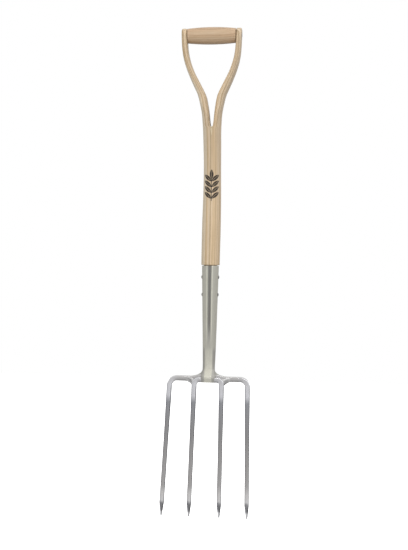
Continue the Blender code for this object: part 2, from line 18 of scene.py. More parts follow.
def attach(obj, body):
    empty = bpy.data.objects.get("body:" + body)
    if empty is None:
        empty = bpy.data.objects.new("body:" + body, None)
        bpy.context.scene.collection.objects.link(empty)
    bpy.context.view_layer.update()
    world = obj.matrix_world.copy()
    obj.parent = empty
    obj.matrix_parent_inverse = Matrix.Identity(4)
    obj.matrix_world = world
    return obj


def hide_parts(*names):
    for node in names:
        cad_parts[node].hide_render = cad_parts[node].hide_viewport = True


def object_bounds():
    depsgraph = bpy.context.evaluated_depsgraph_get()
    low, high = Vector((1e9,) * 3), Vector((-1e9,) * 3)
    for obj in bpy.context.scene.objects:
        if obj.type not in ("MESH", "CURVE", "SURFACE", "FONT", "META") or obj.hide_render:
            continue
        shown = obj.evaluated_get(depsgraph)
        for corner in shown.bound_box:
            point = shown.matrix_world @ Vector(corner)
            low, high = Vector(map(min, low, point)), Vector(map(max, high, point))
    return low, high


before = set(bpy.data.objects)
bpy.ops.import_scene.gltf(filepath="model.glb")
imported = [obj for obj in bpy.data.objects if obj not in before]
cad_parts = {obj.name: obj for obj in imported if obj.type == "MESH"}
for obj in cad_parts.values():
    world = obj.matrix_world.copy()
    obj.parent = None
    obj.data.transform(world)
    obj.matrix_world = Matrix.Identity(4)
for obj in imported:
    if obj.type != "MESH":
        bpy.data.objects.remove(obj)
cad_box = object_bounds()

# -------- sizes, as in the CAD

# Grip
GRIP_HEIGHT = 1.0110
GRIP_LENGTH = 0.1008
GRIP_MID_RADIUS = 0.0179
GRIP_END_RADIUS = 0.01525
GRIP_EDGE = 0.0006
GRIP_CLEARANCE = 0.0001  # between each end of the grip and its arm
ROD_RADIUS = 0.0030
ROD_HEAD_RADIUS = 0.0043
ROD_HEAD_HEIGHT = 0.0008
WASHER_RADIUS = 0.0070
WASHER_THICKNESS = 0.0011
WASHER_SEAT = 0.0624
GAP = 0.0003

# Shaft: height, overall width and depth above the socket
SHAFT_SIZES = (
    (0.5255, 0.0398, 0.0398),
    (0.6150, 0.0406, 0.0402),
    (0.7330, 0.0378, 0.0382),
    (0.7840, 0.0386, 0.0380),
    (0.8130, 0.0392, 0.0376),
    (0.8310, 0.0408, 0.0372),
    (0.8510, 0.0438, 0.0366),
    (0.8700, 0.0505, 0.0360),
    (0.8900, 0.0610, 0.0352),
    (0.9075, 0.0770, 0.0344),
    (0.9250, 0.0930, 0.0336),
    (0.9440, 0.1083, 0.0328),
    (0.9620, 0.1190, 0.0322),
    (0.9820, 0.1250, 0.0316),
    (1.0110, 0.1280, 0.0310),
    (1.0300, 0.1288, 0.0310),
)
# Shaft: height and width of the opening between the arms
ARM_GAPS = (
    (0.8250, 0.0064),
    (0.8510, 0.0105),
    (0.8770, 0.0186),
    (0.8900, 0.0255),
    (0.9130, 0.0486),
    (0.9375, 0.0743),
    (0.9620, 0.0921),
    (0.9820, 0.0998),
    (1.0000, 0.1022),
    (1.0300, 0.1026),
)
# Shaft: height and depth of its centre line, which is cranked
SHAFT_BEND = (
    (0.3400, 0.0000),
    (0.5255, 0.0005),
    (0.6000, 0.0080),
    (0.6900, 0.0165),
    (0.7600, 0.0100),
    (0.8300, -0.0085),
    (0.9250, -0.0240),
    (0.9850, -0.0370),
    (1.0040, -0.0395),
    (1.0300, -0.0395),
)
SHAFT_END = 0.335
SHOULDER = 0.5255
SHOULDER_EDGE = 0.0010
CROTCH = 0.8215
CROTCH_RADIUS = 0.0032
ARM_POWER = 3.4
ARM_ROUNDED_BY = 0.875
WEDGE_FOOT = 0.8015
WEDGE_TOP_WIDTH = 0.0054
WEDGE_FOOT_WIDTH = 0.0014

# Socket: height, half width, half depth, depth of centre, squareness, and the share of
# the half depth at which its front is flattened
SOCKET_SIZES = (
    (0.2741, 0.0166, 0.0147, -0.0147, 3.4, 1.00),
    (0.2850, 0.0163, 0.0147, -0.0143, 3.3, 1.00),
    (0.2930, 0.0142, 0.0143, -0.0100, 2.7, 0.94),
    (0.3020, 0.0132, 0.0134, -0.0055, 2.0, 0.86),
    (0.3280, 0.0138, 0.0138, -0.0015, 2.0, 0.86),
    (0.3600, 0.0146, 0.0146, 0.0000, 2.0, 1.00),
    (0.5240, 0.0183, 0.0183, 0.0000, 2.0, 1.00),
)
SOCKET_WALL = 0.0018
FLUTE_DEPTH = 0.0020
FLUTE_HALF_ANGLE = math.radians(15)
FLUTE_LIP = 0.0004
NECK_FLAT_TOP = 0.350
NECK_FLAT_HALF_WIDTH = 0.0075
FLUTE_FADES_FROM = 0.405
FLUTE_ENDS_AT = 0.347
RIVET_HEIGHTS = {"upper": 0.4995, "lower": 0.4615}
RIVET_RADIUS = 0.0025
RIVET_HEAD_RADIUS = 0.0040
RIVET_HEAD_HEIGHT = 0.0019

# Tines and crossbars
OUTER_SPREAD = (0.0896, 0.0845)  # half spacing at the points and at the top
INNER_SPREAD = (0.0316, 0.0294)
TIP_DEPTH = -0.0755
OUTER_BAR_HEIGHT = 0.2797
OUTER_BAR_DEPTH = -0.0086
OUTER_BAR_BEND = 0.0160
OUTER_TINE_LEAN = 0.21
OUTER_BAR_STRAIGHT_TO = 0.0380
OUTER_BAR_RISE = 0.0050
INNER_BAR_HEIGHT = 0.2787
INNER_BAR_DEPTH = -0.0207
INNER_BAR_BEND = 0.0100
INNER_TINE_LEAN = 0.17
TINE_SIZES = ((0.0, 0.0049), (0.150, 0.0049), (0.225, 0.0054), (0.268, 0.0057))
BAR_HALF = 0.0057
BAR_CORNER = 0.0020
POINT_LENGTH = 0.0270
POINT_HALF = 0.0019
POINT_DIAMOND_BY = 0.0100
FACE_CROWN = 0.06  # bulge of a bar's faces, as a share of half their width

# Welds
SHOULDER_WELD_REACH = 0.0375
SHOULDER_WELD_TOP = 0.3000
SHOULDER_WELD_HALF_DEPTH = 0.0047
FILLET_REACH = 0.0160
FILLET_DROP = 0.0075
BEAD_LENGTH = 0.0180

# Brightness of the light tent by height, from 0 straight below to 1 straight above
FRONT_OF_TENT = (
    (0.00, 0.80),
    (0.12, 0.65),
    (0.22, 0.40),
    (0.35, 0.38),
    (0.42, 0.54),
    (0.48, 0.66),
    (0.62, 0.62),
    (0.74, 0.75),
    (0.90, 1.00),
)
SIDES_OF_TENT = (
    (0.00, 0.65),
    (0.14, 0.45),
    (0.30, 0.25),
    (0.44, 0.42),
    (0.60, 0.50),
    (0.72, 0.95),
    (1.00, 0.85),
)
LOW_LEFT_GLOW = (0.95, 0.95, 0.95)

# Distance from the point, and the tint a tine gets there: painted highlights and painted shade that stand
# in for its reflections
TINE_PAINTED_REFLECTIONS = (
    (0.000, (0.85, 0.85, 0.85)),
    (0.009, (0.98, 0.98, 0.98)),
    (0.013, (0.40, 0.40, 0.41)),
    (0.026, (0.40, 0.40, 0.41)),
    (0.031, (0.93, 0.92, 0.91)),
    (0.046, (0.88, 0.86, 0.84)),
    (0.062, (0.60, 0.585, 0.57)),
    (0.130, (0.50, 0.49, 0.48)),
    (0.170, (0.43, 0.425, 0.425)),
    (0.210, (0.45, 0.45, 0.46)),
    (0.236, (0.45, 0.46, 0.48)),
    (0.250, (0.95, 0.95, 0.98)),
    (0.272, (0.95, 0.95, 0.97)),
    (0.300, (0.76, 0.745, 0.725)),
)
# Painted shade darkens a tine on its sides and along the edges of its front and back: over
# which distances from its middle, where along the bar that ends, how strongly, in what colour
TINE_EDGE = (0.0030, 0.0046)
TINE_EDGE_ENDS = (0.262, 0.278)
TINE_EDGE_SHARE = 0.6
TINE_SHADE_GREY = (0.16, 0.16, 0.17)
# Tint of the socket, from painted highlights on its lips and its neck's flat, by way of plain steel, to
# painted shade in its hollows
SOCKET_PAINTED_LIGHT = (
    (0.00, (1.45, 1.45, 1.42)),
    (0.50, (1.00, 1.00, 1.00)),
    (0.75, (0.80, 0.80, 0.83)),
    (1.00, (0.46, 0.455, 0.48)),
)
OLD_STAIN = (0.30, 0.29, 0.26)
NICK_GREY = (0.12, 0.115, 0.11)
SAPWOOD_GREY = (0.54, 0.475, 0.365)
MARK_INK = (0.020, 0.014, 0.010)

COAT_ROUGHNESS = 0.14  # of the lacquer on the wood

# How finely the shapes are drawn
RING_STEPS = 40  # steps round half of the shaft
INNER_STEPS = 24  # steps across the inside of an arm
TURNED_STEPS = 64
CORNER_STEPS = 8  # steps round one corner of a bar

# The printed mark on the front of the shaft: a plain leafy sprig
MARK_FOOT = 0.6640
MARK_LENGTH = 0.0690
MARK_WRAPS_TO = -0.0070  # depth from the shaft's centre line that the print reaches
LEAF_PAIRS = 4
LEAF_PITCH = 0.0125
LEAF_LENGTH = 0.0222
LEAF_HALF_WIDTH = 0.0042
STEM_HALF_WIDTH = 0.0006
INK_EDGE = 0.0003  # over which the print fades out

# Camera: lens and film in mm, angles in degrees
CAMERA_LENS = 53.42
CAMERA_FILM = 36.0
CAMERA_YAW = 6.0
CAMERA_LIFT = 0.1
CAMERA_ROLL = 0.822194
CAMERA_DISTANCE = 1.771
CAMERA_TARGET = (-0.01374, 0.039, -0.48935)
LIGHTS_TARGET = (0.0, 0.0, -0.40)
FLOOR_DROP = 0.5


# -------- curves and sections


def smooth_step(value):
    value = min(max(value, 0.0), 1.0)
    return value * value * (3.0 - 2.0 * value)


def station(table, height, column=1):
    """A smooth curve through one column of a table of heights, level beyond its ends."""
    if height <= table[0][0]:
        return table[0][column]
    if height >= table[-1][0]:
        return table[-1][column]
    last = len(table) - 1
    low = max(i for i in range(last) if table[i][0] <= height)

    def slope(i):
        before, after = table[max(i - 1, 0)], table[min(i + 1, last)]
        return (after[column] - before[column]) / (after[0] - before[0])

    start, end = table[low], table[low + 1]
    span = end[0] - start[0]
    t = (height - start[0]) / span
    rise = (1 + 2 * t) * (1 - t) ** 2 * start[column] + t * t * (3 - 2 * t) * end[column]
    return rise + span * (t * (1 - t) ** 2 * slope(low) - t * t * (1 - t) * slope(low + 1))


def even(start, end, steps):
    """Equally spaced values from just after start up to end."""
    return [start + (end - start) * i / steps for i in range(1, steps + 1)]


def superellipse(angle, half_width, half_depth, power):
    """A point at an angle that is measured from the front and turns towards +X."""
    side, back = math.sin(angle), -math.cos(angle)
    return (
        half_width * math.copysign(abs(side) ** (2 / power), side),
        half_depth * math.copysign(abs(back) ** (2 / power), back),
    )


def softly_above(value, floor, blend):
    """The larger of value and floor, rounded over where the two meet."""
    apart = value - floor
    return floor + (apart + math.sqrt(apart * apart + blend * blend)) / 2


GRIP_DEPTH = station(SHAFT_BEND, GRIP_HEIGHT)
# The design's own frame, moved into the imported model's
PLACED = Matrix.Translation((0.0, -GRIP_DEPTH, GRIP_MID_RADIUS - GRIP_HEIGHT))


# -------- mesh helpers


def mesh_from(name, points, faces):
    mesh = bpy.data.meshes.new(name)
    mesh.from_pydata(points, [], faces)
    work = bmesh.new()
    work.from_mesh(mesh)
    bmesh.ops.recalc_face_normals(work, faces=work.faces)
    work.to_mesh(mesh)
    work.free()
    return mesh


def between(first, second):
    """Quads between two closed loops of vertex numbers."""
    count = len(first)
    return [
        (first[i], first[(i + 1) % count], second[(i + 1) % count], second[i])
        for i in range(count)
    ]


def loft(name, rings, ends="capped"):
    """A skin over closed rings of equal length; its ends are capped, or joined up."""
    points = [point for ring in rings for point in ring]
    loops = []
    for ring in rings:
        start = len(ring) * len(loops)
        loops.append(list(range(start, start + len(ring))))
    faces = [face for pair in zip(loops, loops[1:]) for face in between(*pair)]
    faces += [loops[0], loops[-1]] if ends == "capped" else between(loops[-1], loops[0])
    return mesh_from(name, points, faces)


def lathe(name, profile, ends="capped", steps=TURNED_STEPS):
    """A profile of (distance along X, radius) turned about the X axis."""
    rings = []
    for along, radius in profile:
        turns = [2 * math.pi * i / steps for i in range(steps)]
        rings.append([(along, radius * math.cos(t), radius * math.sin(t)) for t in turns])
    return loft(name, rings, ends)


def add_object(name, mesh):
    made = bpy.data.objects.new(name, mesh)
    bpy.context.scene.collection.objects.link(made)
    return made


def boolean(piece, other, operation="DIFFERENCE"):
    modifier = piece.modifiers.new(operation.lower(), "BOOLEAN")
    modifier.operation = operation
    modifier.solver = "EXACT"
    modifier.object = other


def applied(piece, helpers=()):
    """Makes the result of a piece's modifiers its own mesh, and removes its helpers."""
    graph = bpy.context.evaluated_depsgraph_get()
    mesh = bpy.data.meshes.new_from_object(piece.evaluated_get(graph))
    piece.modifiers.clear()
    piece.data = mesh
    for helper in helpers:
        bpy.data.objects.remove(helper)


def store_grain(mesh, of_point):
    """Keeps, at each point, where it lies in the material's own grain."""
    grain = mesh.attributes.new("grain", "FLOAT_VECTOR", "POINT")
    for point, kept in zip(mesh.vertices, grain.data):
        kept.vector = of_point(point.co)


def finish_piece(piece, look, slot, *nodes, sharp=30):
    """Shades a piece, moves it into place and hands it to the frame."""
    mesh = piece.data
    mesh.materials.clear()
    mesh.materials.append(look)
    mesh.shade_smooth()
    mesh.set_sharp_from_angle(angle=math.radians(sharp))
    mesh.transform(PLACED)
    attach(piece, "root")
    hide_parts(*nodes)


def pin_helper(name, radius, length, centre):
    helper = add_object(name, lathe(name, [(-length / 2, radius), (length / 2, radius)]))
    helper.location = centre
    return helper


# -------- node helpers


class Nodes:
    """Short names for making and wiring the nodes of one tree."""

    def __init__(self, tree):
        self.tree = tree

    def node(self, kind, *values, **settings):
        made = self.tree.nodes.new(kind)
        for key, value in settings.items():
            setattr(made, key, value)
        for socket, value in zip(made.inputs, values):
            self.feed(socket, value)
        return made

    def feed(self, socket, value):
        if isinstance(value, bpy.types.NodeSocket):
            self.tree.links.new(value, socket)
        elif value is not None:
            socket.default_value = value

    def attribute(self, name, output="Fac"):
        return self.node("ShaderNodeAttribute", attribute_name=name).outputs[output]

    def grain(self):
        return self.attribute("grain", "Vector")

    def grey(self, value):
        return self.node("ShaderNodeCombineXYZ", value, value, value).outputs[0]

    def parts(self, vector):
        return self.node("ShaderNodeSeparateXYZ", vector).outputs

    def vector(self, operation, *values):
        return self.node("ShaderNodeVectorMath", *values, operation=operation).outputs[0]

    def math(self, operation, *values):
        return self.node("ShaderNodeMath", *values, operation=operation).outputs[0]

    def stretched(self, vector, across, along):
        """Coordinates for a texture of this many features a metre across and along."""
        return self.vector("MULTIPLY", vector, (across, across, along))

    def noise(self, vector, detail=2.0, roughness=0.5):
        made = self.node("ShaderNodeTexNoise")
        self.feed(made.inputs["Vector"], vector)
        made.inputs["Scale"].default_value = 1.0
        made.inputs["Detail"].default_value = detail
        made.inputs["Roughness"].default_value = roughness
        return made

    def step(self, value, low, high, start=0.0, end=1.0):
        """Goes smoothly from start to end as value goes from low to high."""
        made = self.node("ShaderNodeMapRange", value, interpolation_type="SMOOTHSTEP")
        for name, number in (("From Min", low), ("From Max", high), ("To Min", start), ("To Max", end)):
            self.feed(made.inputs[name], number)
        return made.outputs[0]

    def ramp(self, value, *stops):
        made = self.node("ShaderNodeValToRGB", value)
        elements = made.color_ramp.elements
        while len(elements) < len(stops):
            elements.new(0.5)
        for element, (position, colour) in zip(elements, stops):
            element.position = position
            element.color = (*colour, 1.0)
        return made.outputs["Color"]

    def mix(self, share, first, second):
        made = self.node("ShaderNodeMix", data_type="RGBA")
        for index, value in ((0, share), (6, first), (7, second)):
            if isinstance(value, tuple):
                value = (*value, 1.0)
            self.feed(made.inputs[index], value)
        return made.outputs[2]

    def bump(self, height, distance, strength, below=None):
        made = self.node("ShaderNodeBump")
        made.inputs["Strength"].default_value = strength
        made.inputs["Distance"].default_value = distance
        self.feed(made.inputs["Height"], height)
        self.feed(made.inputs["Normal"], below)
        return made.outputs["Normal"]


class Look(Nodes):
    """A procedural material."""

    def __init__(self, name):
        self.material = bpy.data.materials.new(name)
        self.material.use_nodes = True
        super().__init__(self.material.node_tree)
        self.shader = self.tree.nodes["Principled BSDF"]

    def set(self, **values):
        for name, value in values.items():
            self.feed(self.shader.inputs[name.replace("_", " ")], value)


# -------- wood


def growth_rings(look, grain, pith, spacing, run_out):
    """(how early in its year the wood grew, a random number for each year)."""
    wobble = look.noise(look.stretched(grain, 38.0, 3.1), detail=2.0).outputs["Color"]
    wobble = look.vector("MULTIPLY", look.vector("SUBTRACT", wobble, (0.5, 0.5, 0.5)), (0.005,) * 3)
    across = look.vector("ADD", grain, wobble)
    x, y, along = look.parts(across)
    lean = look.math("MULTIPLY", along, run_out)
    x = look.math("ADD", look.math("SUBTRACT", x, pith[0]), lean)
    y = look.math("SUBTRACT", y, pith[1])
    square = look.math("ADD", look.math("MULTIPLY", x, x), look.math("MULTIPLY", y, y))
    years = look.math("DIVIDE", look.math("SQRT", square), spacing)
    year = look.math("FLOOR", years)
    random = look.node("ShaderNodeTexWhiteNoise", noise_dimensions="1D")
    look.feed(random.inputs["W"], year)
    return look.math("FRACT", years), random.outputs["Value"]


def wood(name, light, dark, warm, pith, spacing=0.0042, run_out=0.004, rough=0.46, sapwood=None, coat=0.12):
    """Ash: pale late wood, and a band of open pores at the start of each year.

    sapwood, if given, is how far across a dark line lies, with paler, greyer wood past it.
    """
    look = Look(name)
    grain = look.grain()
    season, year = growth_rings(look, grain, pith, spacing, run_out)
    rise = look.step(season, 0.0, 0.07)
    fall = look.step(season, 0.12, 0.50, 1.0, 0.0)
    strength = look.math("MULTIPLY_ADD", year, 0.75, 0.25)
    early = look.math("MULTIPLY", look.math("MULTIPLY", rise, fall), strength)

    broad = look.noise(look.stretched(grain, 75.0, 1.6), detail=2.0).outputs["Fac"]
    streaks = look.noise(look.stretched(grain, 420.0, 5.0), detail=3.0, roughness=0.6).outputs["Fac"]
    fibres = look.noise(look.stretched(grain, 2600.0, 34.0), detail=3.0, roughness=0.65).outputs["Fac"]
    pores = look.noise(look.stretched(grain, 3400.0, 190.0), detail=1.0).outputs["Fac"]
    open_pores = look.math("MULTIPLY", look.step(pores, 0.60, 0.68), look.step(early, 0.2, 0.7))
    fine_pores = look.math("MULTIPLY", look.step(pores, 0.67, 0.74), 0.35)
    pits = look.math("MAXIMUM", open_pores, fine_pores)

    colour = look.mix(look.step(broad, 0.34, 0.66), light, warm)
    colour = look.mix(look.math("MULTIPLY", early, 0.9), colour, dark)
    colour = look.mix(look.step(streaks, 0.42, 0.72, 0.0, 0.55), colour, dark)
    if sapwood is not None:
        past = look.math("SUBTRACT", look.parts(grain)[0], sapwood)
        past = look.math("MULTIPLY_ADD", look.math("SUBTRACT", broad, 0.5), 0.004, past)
        colour = look.mix(look.step(past, -0.0030, -0.0006, 0.55, 0.0), colour, SAPWOOD_GREY)
        line = look.step(look.math("ABSOLUTE", past), 0.0003, 0.0010, 0.85, 0.0)
        colour = look.mix(line, colour, dark)
    shade = look.step(fibres, 0.25, 0.75, 0.90, 1.07)
    colour = look.vector("MULTIPLY", colour, look.grey(shade))
    colour = look.mix(look.math("MULTIPLY", pits, 0.55), colour, tuple(c * 0.45 for c in dark))

    sheen = look.step(fibres, 0.2, 0.8, rough - 0.06, rough + 0.08)
    dull = look.math("MULTIPLY_ADD", pits, 0.2, sheen)
    relief = look.math("SUBTRACT", look.math("MULTIPLY", fibres, 0.5), pits)
    relief = look.math("SUBTRACT", relief, look.math("MULTIPLY", early, 0.4))
    hand = look.noise(look.stretched(grain, 90.0, 14.0), detail=1.0).outputs["Fac"]
    normal = look.bump(hand, 0.0006, 0.35)
    normal = look.bump(relief, 0.00007, 0.6, normal)
    look.set(Base_Color=colour, Roughness=dull, Normal=normal, IOR=1.48)
    look.set(Coat_Weight=coat, Coat_Roughness=COAT_ROUGHNESS)
    return look


def leaf_mark(look):
    """1 inside the printed sprig on the front of the shaft, and 0 elsewhere."""
    x, y, height = look.parts(look.grain())
    side = look.math("ABSOLUTE", x)
    up = look.math("SUBTRACT", height, MARK_FOOT)
    # A leaf climbs outwards at 45 degrees from each pitch along the stem.
    row = look.math("SUBTRACT", up, side)
    folded = look.math("MULTIPLY", look.math("ADD", row, LEAF_PITCH * 0.1), 1 / LEAF_PITCH)
    number = look.math("FLOOR", folded)
    middle = look.math("MULTIPLY", look.math("SUBTRACT", look.math("FRACT", folded), 0.5), LEAF_PITCH)
    leaf_across = look.math("MULTIPLY", middle, math.sqrt(0.5))
    leaf_along = look.math("MULTIPLY_ADD", side, math.sqrt(2.0), leaf_across)
    real = look.math("MULTIPLY", look.math("GREATER_THAN", number, -0.5),
                     look.math("LESS_THAN", number, LEAF_PAIRS - 0.5))
    pairs = look.math("MULTIPLY", leaf_shape(look, leaf_across, leaf_along), real)
    stem_top = MARK_LENGTH - LEAF_LENGTH
    tip = leaf_shape(look, x, look.math("SUBTRACT", up, stem_top))
    stem = look.step(side, STEM_HALF_WIDTH, STEM_HALF_WIDTH + INK_EDGE, 1.0, 0.0)
    stem = look.math("MULTIPLY", stem, look.step(up, 0.0, 2 * INK_EDGE))
    stem = look.math("MULTIPLY", stem, look.step(up, stem_top, stem_top + 0.002, 1.0, 0.0))
    shape = look.math("MAXIMUM", look.math("MAXIMUM", pairs, tip), stem)
    front = look.step(y, MARK_WRAPS_TO - INK_EDGE, MARK_WRAPS_TO, 1.0, 0.0)
    return look.math("MULTIPLY", shape, front)


def leaf_shape(look, across, along):
    """A lens with a light vein down its middle."""
    share = look.math("DIVIDE", along, LEAF_LENGTH)
    belly = look.math("MULTIPLY", share, look.math("SUBTRACT", 1.0, share))
    half = look.math("MULTIPLY", belly, 4 * LEAF_HALF_WIDTH)
    off = look.math("ABSOLUTE", across)
    inside = look.step(look.math("SUBTRACT", half, off), 0.0, INK_EDGE)
    vein = look.math("MULTIPLY", look.step(off, 0.00012, 0.00028, 1.0, 0.0),
                     look.step(share, 0.10, 0.2))
    return look.math("MULTIPLY", inside, look.math("SUBTRACT", 1.0, vein))


def print_mark(look, ink):
    """Prints the sprig over the wood, a little worn."""
    below = look.shader.inputs["Base Color"].links[0].from_socket
    wear_and_painted_light = look.noise(look.stretched(look.grain(), 1500.0, 260.0), detail=2.0).outputs["Fac"]
    cover = look.math("MULTIPLY", leaf_mark(look), look.step(wear_and_painted_light, 0.28, 0.44, 0.65, 1.0))
    look.set(Base_Color=look.mix(cover, below, ink))


# -------- steel


def steel(name, colour, rough, brushed, forged, stain=OLD_STAIN, tarnish=0.25, zones=(), painted_light=False):
    """Steel ground lengthwise, with the slow unevenness of a forging under it.

    zones, if given, are (distance from the point, tint): painted highlights and painted shade
    along a tine in place of its reflections, and painted shade on its sides and edges. The
    last flag paints shade into hollows, and highlights on edges and on the neck's flat.
    """
    look = Look(name)
    grain = look.grain()
    lines = look.noise(look.stretched(grain, 3200.0, 42.0), detail=3.0, roughness=0.7).outputs["Fac"]
    broad = look.noise(look.stretched(grain, 160.0, 30.0), detail=3.0, roughness=0.55).outputs["Fac"]
    cloud = look.noise(look.stretched(grain, 45.0, 22.0), detail=4.0, roughness=0.6).outputs["Fac"]
    scratch = look.noise(look.stretched(grain, 5200.0, 24.0), detail=1.0).outputs["Fac"]
    scratch = look.step(scratch, 0.70, 0.76)
    nicks = look.noise(look.stretched(grain, 700.0, 420.0), detail=2.0).outputs["Fac"]
    nicks = look.step(nicks, 0.70, 0.76)

    shade = look.step(lines, 0.2, 0.8, 0.88, 1.08)
    tint = look.mix(look.step(cloud, 0.45, 0.75, 0.0, tarnish), colour, stain)
    tint = look.vector("MULTIPLY", tint, look.grey(shade))
    if zones:
        from_tip = look.attribute("from_tip")
        wander = look.math("MULTIPLY_ADD", look.math("SUBTRACT", cloud, 0.5), 0.02, from_tip)
        stops = [(along / zones[-1][0], painted_reflection) for along, painted_reflection in zones]
        # painted highlights and painted shade along the tine, standing in for its reflections
        painted_reflection = look.ramp(look.math("DIVIDE", wander, zones[-1][0]), *stops)
        tint = look.vector("MULTIPLY", tint, painted_reflection)
        # painted shade along a tine's sides and the edges of its faces
        across = look.math("ABSOLUTE", look.parts(grain)[0])
        on_tine = look.step(from_tip, *TINE_EDGE_ENDS, TINE_EDGE_SHARE, 0.0)
        edge = look.math("MULTIPLY", look.step(across, *TINE_EDGE), on_tine)
        tint = look.mix(edge, tint, TINE_SHADE_GREY)
    if painted_light:
        # painted shade in the socket's hollows, and painted highlights on its lips and its neck's flat
        sunk = look.math("MULTIPLY_ADD", look.attribute("painted_light"), 0.5, 0.5)
        tint = look.vector("MULTIPLY", tint, look.ramp(sunk, *SOCKET_PAINTED_LIGHT))
    tint = look.mix(look.math("MULTIPLY", nicks, 0.35), tint, NICK_GREY)
    dull = look.step(lines, 0.15, 0.85, rough - 0.05, rough + 0.08)
    dull = look.math("ADD", dull, look.step(cloud, 0.4, 0.8, 0.0, 0.10))
    dull = look.math("MULTIPLY_ADD", scratch, 0.10, dull)
    normal = look.bump(broad, 0.0011, 0.30 * forged)
    height = look.math("SUBTRACT", look.math("MULTIPLY", lines, 0.6), look.math("MULTIPLY", scratch, 0.7))
    height = look.math("SUBTRACT", height, look.math("MULTIPLY", nicks, 0.9))
    normal = look.bump(height, 0.00003, 0.55 * brushed, normal)
    look.set(Base_Color=tint, Roughness=dull, Normal=normal, Metallic=1.0)
    return look


# -------- handle


def shaft_ring(height):
    """The whole section: front, right side, back, left side."""
    centre = station(SHAFT_BEND, height)
    steps = 2 * RING_STEPS
    if height < SHOULDER:
        half_width = station(SOCKET_SIZES, height, 1) - SOCKET_WALL - FLUTE_DEPTH
        half_depth = half_width
        centre = 0.0
    else:
        over = max(0.0, SHOULDER + SHOULDER_EDGE - height)
        eased = SHOULDER_EDGE - math.sqrt(SHOULDER_EDGE**2 - over**2)
        half_width = station(SHAFT_SIZES, height, 1) / 2 - eased
        half_depth = station(SHAFT_SIZES, height, 2) / 2 - eased
    ring = [
        superellipse(math.pi * i / RING_STEPS, half_width, half_depth, 2.0) for i in range(steps)
    ]
    return [(x, y + centre, height) for x, y in ring]


def half_gap(height):
    """Half the opening between the arms, which ends below in a round crotch."""
    over = max(0.0, height - CROTCH)
    if over < CROTCH_RADIUS:
        return math.sqrt(over * (2 * CROTCH_RADIUS - over))
    return max(CROTCH_RADIUS, station(ARM_GAPS, height) / 2)


def arm_loop(height, side):
    """One arm's section: its outer side from front to back, then its inner side."""
    centre = station(SHAFT_BEND, height)
    outer = station(SHAFT_SIZES, height, 1) / 2
    inner = half_gap(height)
    half_depth = station(SHAFT_SIZES, height, 2) / 2
    over = max(0.0, height - GRIP_HEIGHT) / half_depth
    half_depth *= math.sqrt(1 - over * over)
    ease = 0.0018 * over**6
    outer, inner = outer - ease, inner + ease
    middle, half = (outer + inner) / 2, (outer - inner) / 2
    rounded = smooth_step((height - CROTCH) / (ARM_ROUNDED_BY - CROTCH))
    loop = []
    for i in range(RING_STEPS + 1):
        angle = math.pi * i / RING_STEPS
        split_x, split_y = superellipse(angle, outer, half_depth, 2.0)
        x, y = superellipse(angle, half, half_depth, ARM_POWER)
        split_x = max(split_x, inner)
        loop.append((split_x + (middle + x - split_x) * rounded, split_y + (y - split_y) * rounded))
    for i in range(1, INNER_STEPS):
        angle = math.pi * (1 + i / INNER_STEPS)
        x, y = superellipse(angle, half, half_depth, ARM_POWER)
        split_y = half_depth * (1 - 2 * i / INNER_STEPS)
        loop.append((inner + (middle + x - inner) * rounded, split_y + (y - split_y) * rounded))
    return [(side * x, y + centre, height) for x, y in loop]


def shaft_heights():
    shoulder = [SHOULDER - 0.0004]
    shoulder += [SHOULDER + SHOULDER_EDGE * share for share in (0.001, 0.12, 0.3, 0.55, 0.8, 1.0)]
    return [SHAFT_END, 0.42, 0.5] + shoulder + even(shoulder[-1], CROTCH, 75)


def arm_heights():
    crotch = [CROTCH + CROTCH_RADIUS * share for share in (0.02, 0.08, 0.2, 0.38, 0.6, 0.85, 1.15)]
    climb = even(crotch[-1], GRIP_HEIGHT, 62)
    end_radius = station(SHAFT_SIZES, GRIP_HEIGHT, 2) / 2
    turns = (8, 16, 24, 32, 40, 48, 55, 62, 68, 74, 79, 83, 86.5)
    return crotch + climb + [GRIP_HEIGHT + end_radius * math.sin(math.radians(t)) for t in turns]


def shaft_mesh(name):
    """A skin that is one ring up to the crotch and two loops above it."""
    rings = [shaft_ring(height) for height in shaft_heights()]
    points = [point for ring in rings for point in ring]
    steps = 2 * RING_STEPS
    loops = [list(range(start, start + steps)) for start in range(0, len(points), steps)]
    faces = [loops[0]] + [face for pair in zip(loops, loops[1:]) for face in between(*pair)]
    split = loops[-1]
    front, back = points[split[0]], points[split[RING_STEPS]]
    saddle = []
    for i in range(1, INNER_STEPS):
        saddle.append(len(points))
        points.append(Vector(back).lerp(Vector(front), i / INNER_STEPS)[:])
    right = split[: RING_STEPS + 1] + saddle
    left = [split[0]] + split[: RING_STEPS - 1 : -1] + saddle
    for side, loop in ((1, right), (-1, left)):
        for height in arm_heights():
            section = arm_loop(height, side)
            upper = list(range(len(points), len(points) + len(section)))
            points += section
            faces += between(loop, upper)
            loop = upper
        faces.append(loop)
    return mesh_from(name, points, faces)


def wedge_mesh(name, extra):
    """The V-shaped filler below the crotch, wider all round by extra."""
    outline = [
        (WEDGE_TOP_WIDTH / 2 + extra, CROTCH + 2 * CROTCH_RADIUS),
        (WEDGE_TOP_WIDTH / 2 + extra, CROTCH),
        (WEDGE_FOOT_WIDTH / 2 + extra, WEDGE_FOOT - extra),
    ]
    outline += [(-x, z) for x, z in reversed(outline)]
    return loft(name, [[(x, y, z) for x, z in outline] for y in (-0.04, 0.04)])


def shaft_grain(point):
    """Along the wood, and across it from the split that the arms are bent out from."""
    return (
        math.copysign(abs(point.x) - half_gap(point.z), point.x),
        point.y - station(SHAFT_BEND, point.z),
        point.z,
    )


